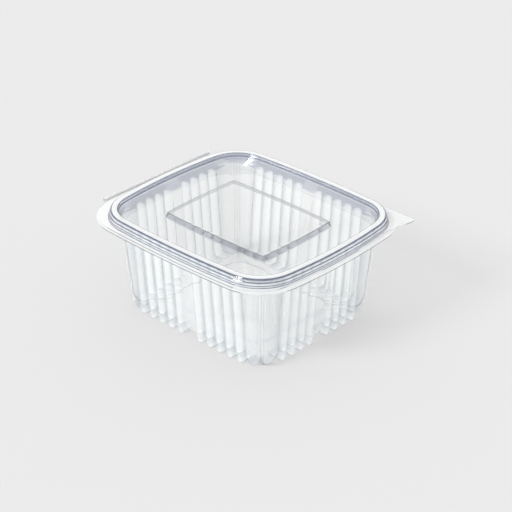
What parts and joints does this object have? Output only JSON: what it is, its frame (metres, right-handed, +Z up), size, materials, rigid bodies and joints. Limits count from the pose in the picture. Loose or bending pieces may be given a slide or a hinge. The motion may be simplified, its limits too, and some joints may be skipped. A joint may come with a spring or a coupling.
{
  "type": "hinged takeaway meal box",
  "caption": "Clear rectangular meal box of thin sheet with fluted walls, stub feet, a flanged rim and a shallow lid joined along the back by a rolled living hinge.",
  "frame": {"origin": "on the ground under the middle of the closed box", "axes": "+Z up, +Y towards the hinge, +X towards the side with the pull tab"},
  "size_m": [0.1348, 0.1558, 0.0659],
  "materials": {
    "clear_sheet": "clear glossy plastic sheet"
  },
  "bodies": {
    "tray": {"tray": "clear_sheet"},
    "lid": {"lid": "clear_sheet"}
  },
  "joints": [
    {"name": "lid_hinge", "type": "hinge", "parent": "tray", "child": "lid", "pos_m": [0, 0.07798, 0.0602], "axis": [-1, 0, 0], "range_deg": [0, 180]}
  ]
}
